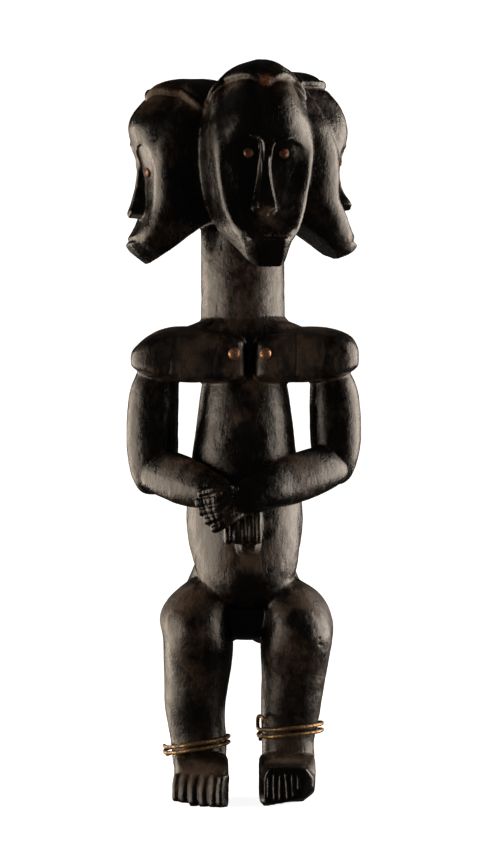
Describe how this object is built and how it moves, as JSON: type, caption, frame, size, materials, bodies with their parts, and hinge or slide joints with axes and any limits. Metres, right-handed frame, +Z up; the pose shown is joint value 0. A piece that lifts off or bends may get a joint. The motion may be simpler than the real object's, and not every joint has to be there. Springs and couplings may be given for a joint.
{
  "type": "three-faced figure",
  "caption": "Standing carved wood figure with three like heads on one neck, shoulder plates, crossed hands, bent legs, metal tack eyes and wire anklets.",
  "frame": {"origin": "on the ground under the middle of the figure's bounding box, between the feet", "axes": "+Z up along the figure's height, the front face, the hands and the toes look along -Y, +X is the viewer's right"},
  "size_m": [0.1876, 0.1468, 0.587],
  "materials": {
    "wood": "dark hardwood under an oily near-black patina, glossy on the rounds, brown where it is worn or crusted",
    "tack": "dulled copper-brown brass tack heads, rubbed bright on top",
    "wire": "old brass wire, dark brown with rubbed highlights"
  },
  "bodies": {
    "root": {"figure": "wood", "eye_tack_front_left": "tack", "eye_tack_front_right": "tack", "eye_tack_left_near": "tack", "eye_tack_left_far": "tack", "eye_tack_right_near": "tack", "eye_tack_right_far": "tack", "nipple_tack_left": "tack", "nipple_tack_right": "tack", "ankle_wire_left": "wire", "ankle_wire_right": "wire"}
  },
  "joints": []
}
